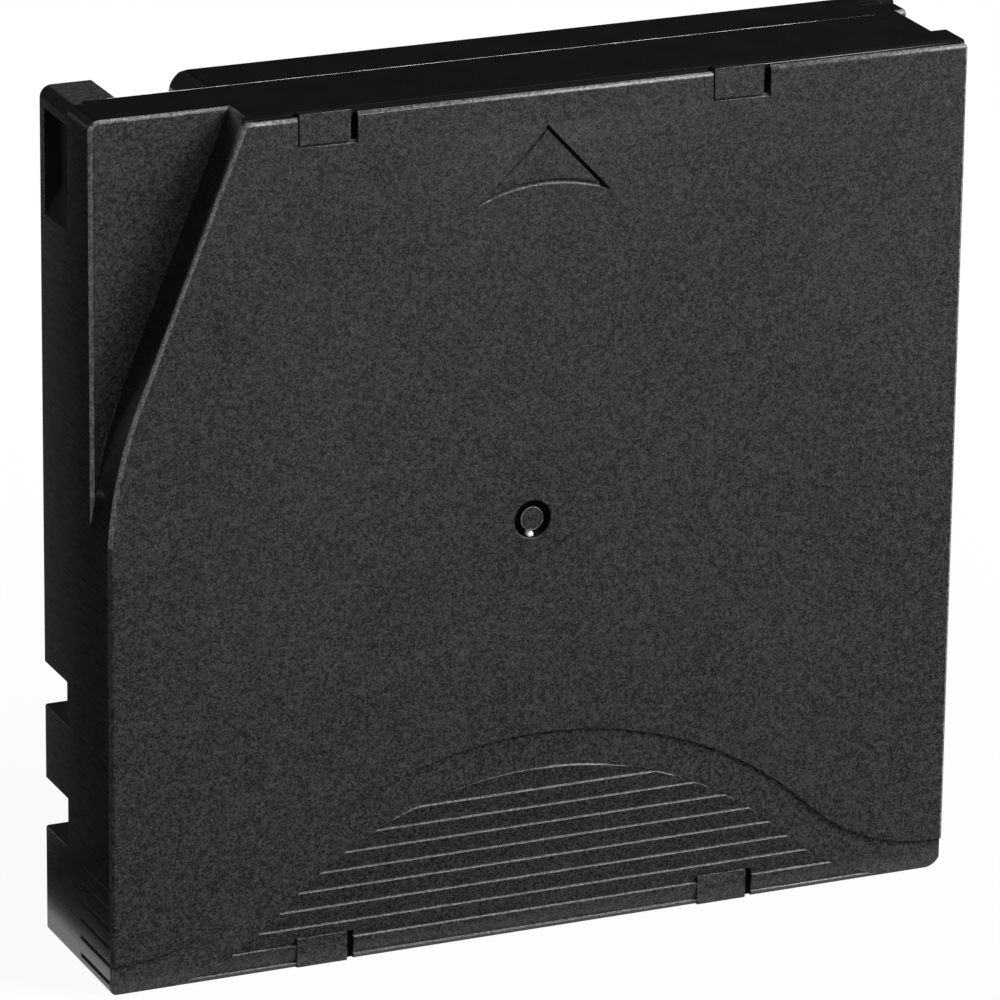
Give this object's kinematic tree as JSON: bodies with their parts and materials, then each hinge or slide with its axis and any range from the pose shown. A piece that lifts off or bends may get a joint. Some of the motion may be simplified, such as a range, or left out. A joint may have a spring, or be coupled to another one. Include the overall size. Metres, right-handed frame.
{
  "type": "data tape cartridge",
  "caption": "Flat square half-inch data tape cartridge with a sliding side door, a sprung toothed reel lock, a leader pin, a corner insertion guide and shingle grip ribs.",
  "frame": {"origin": "middle of the rear edge that the cartridge stands on", "axes": "+Z toward the insertion end, -Y out of the cover face, +Y out of the base face, +X toward the door side"},
  "size_m": [0.1054, 0.0216, 0.102],
  "materials": {
    "cover_polycarbonate": "spark-textured dark grey polycarbonate",
    "base_polycarbonate": "spark-textured dark grey polycarbonate",
    "door_polycarbonate": "smooth black polycarbonate",
    "hub_polycarbonate": "natural glass-filled polycarbonate",
    "flange_polycarbonate": "natural polycarbonate",
    "pad_acetal": "moulded acetal",
    "brake_acetal": "moulded acetal",
    "tab_plastic": "moulded red ABS",
    "clamp_acetal": "moulded acetal",
    "spring_steel": "stainless spring steel",
    "pin_steel": "turned stainless steel",
    "plate_steel": "punched magnetic stainless steel",
    "screw_steel": "blackened steel",
    "magnetic_tape": "coated polyester film",
    "board_laminate": "glass-epoxy laminate",
    "chip_epoxy": "black epoxy",
    "coil_copper": "printed copper"
  },
  "bodies": {
    "case": {"upper_case": "cover_polycarbonate", "lower_case": "base_polycarbonate", "case_screws": "screw_steel", "leader_pin": "pin_steel", "leader_pin_clamp": "clamp_acetal", "leader_pin_spring": "spring_steel", "tape_run": "magnetic_tape", "door_spring": "spring_steel", "brake_spring": "spring_steel", "memory_board": "board_laminate", "memory_chip": "chip_epoxy", "memory_coil": "coil_copper"},
    "door": {"door": "door_polycarbonate"},
    "reel": {"reel_hub": "hub_polycarbonate", "reel_upper_flange": "flange_polycarbonate", "reel_clutch_plate": "plate_steel", "tape_pack": "magnetic_tape"},
    "release_pad": {"release_pad": "pad_acetal"},
    "brake": {"brake_member": "brake_acetal"},
    "write_protect_tab": {"write_protect_tab": "tab_plastic"}
  },
  "joints": [
    {"name": "door_slide", "type": "slide", "parent": "case", "child": "door", "axis": [0, 0, -1], "range_m": [0, 0.02], "stiffness_N_per_m": 15, "springref_m": -0.02, "deforming": ["door_spring"]},
    {"name": "write_protect_slide", "type": "slide", "parent": "case", "child": "write_protect_tab", "axis": [1, 0, 0], "range_m": [0, 0.0062]},
    {"name": "reel_spin", "type": "hinge", "parent": "case", "child": "reel", "pos_m": [-0.0012, 0, 0.0509], "axis": [0, 1, 0], "continuous": true},
    {"name": "release_pad_lift", "type": "slide", "parent": "reel", "child": "release_pad", "axis": [0, -1, 0], "range_m": [0, 0.0015], "stiffness_N_per_m": 300, "springref_m": -0.004},
    {"name": "brake_lift", "type": "slide", "parent": "case", "child": "brake", "axis": [0, -1, 0], "range_m": [0, 0.0015], "deforming": ["brake_spring"]}
  ],
  "couplings": [
    {"joint": "brake_lift", "follows": "release_pad_lift", "ratio": 1}
  ]
}
